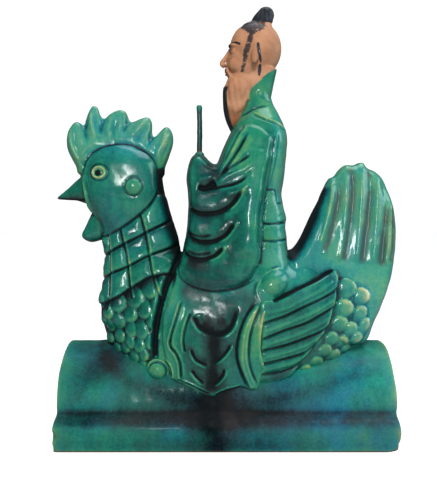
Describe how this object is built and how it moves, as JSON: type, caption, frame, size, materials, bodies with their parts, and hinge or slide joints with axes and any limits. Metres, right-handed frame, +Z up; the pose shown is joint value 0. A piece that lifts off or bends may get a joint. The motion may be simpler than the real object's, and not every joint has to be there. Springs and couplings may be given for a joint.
{
  "type": "roof ridge figure",
  "caption": "Glazed pottery roof ridge figure: a bearded rider in a long-sleeved robe on a hen, standing on a half-barrel ridge tile.",
  "frame": {"origin": "on the ground under the middle of the tile", "axes": "+Z up; the tile runs along X and the figure faces -X; Y is across the tile"},
  "size_m": [0.299, 0.131, 0.3699],
  "materials": {
    "green_lead_glaze": "glossy, pooled dark in the grooves; head in bare tan clay with worn black paint",
    "dark_green_glaze": "glossy"
  },
  "bodies": {
    "root": {"ridge_figure": "green_lead_glaze", "held_rod": "dark_green_glaze"}
  },
  "joints": []
}
